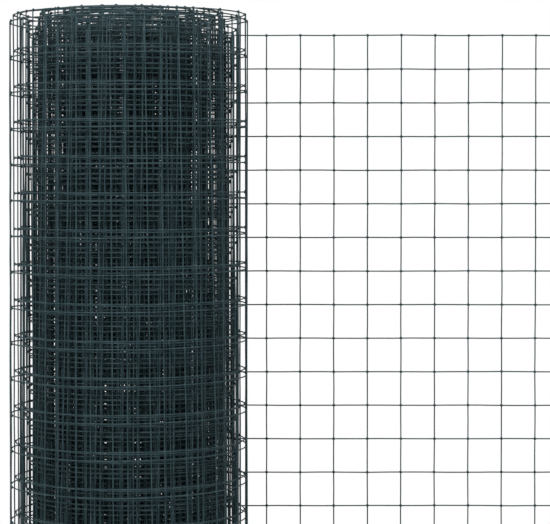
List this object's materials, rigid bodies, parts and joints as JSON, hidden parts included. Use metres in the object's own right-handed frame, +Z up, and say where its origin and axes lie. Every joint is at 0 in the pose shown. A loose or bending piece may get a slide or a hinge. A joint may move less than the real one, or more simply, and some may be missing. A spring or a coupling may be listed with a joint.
{
  "type": "roll of wire fencing",
  "caption": "Standing roll of square welded wire mesh fencing with a green plastic coat, its free end unrolled flat.",
  "frame": {"origin": "on the roll's axis, in the plane of the roll's foot that it stands on", "axes": "+Z up along the roll's axis; +X the way the flat free end runs; the free end lies behind the roll at +Y"},
  "size_m": [0.4087, 0.1678, 0.5224],
  "materials": {
    "coated_wire": "dark green plastic coat with a soft gloss"
  },
  "bodies": {
    "root": {"wound_roll": "coated_wire", "free_end": "coated_wire"}
  },
  "joints": []
}
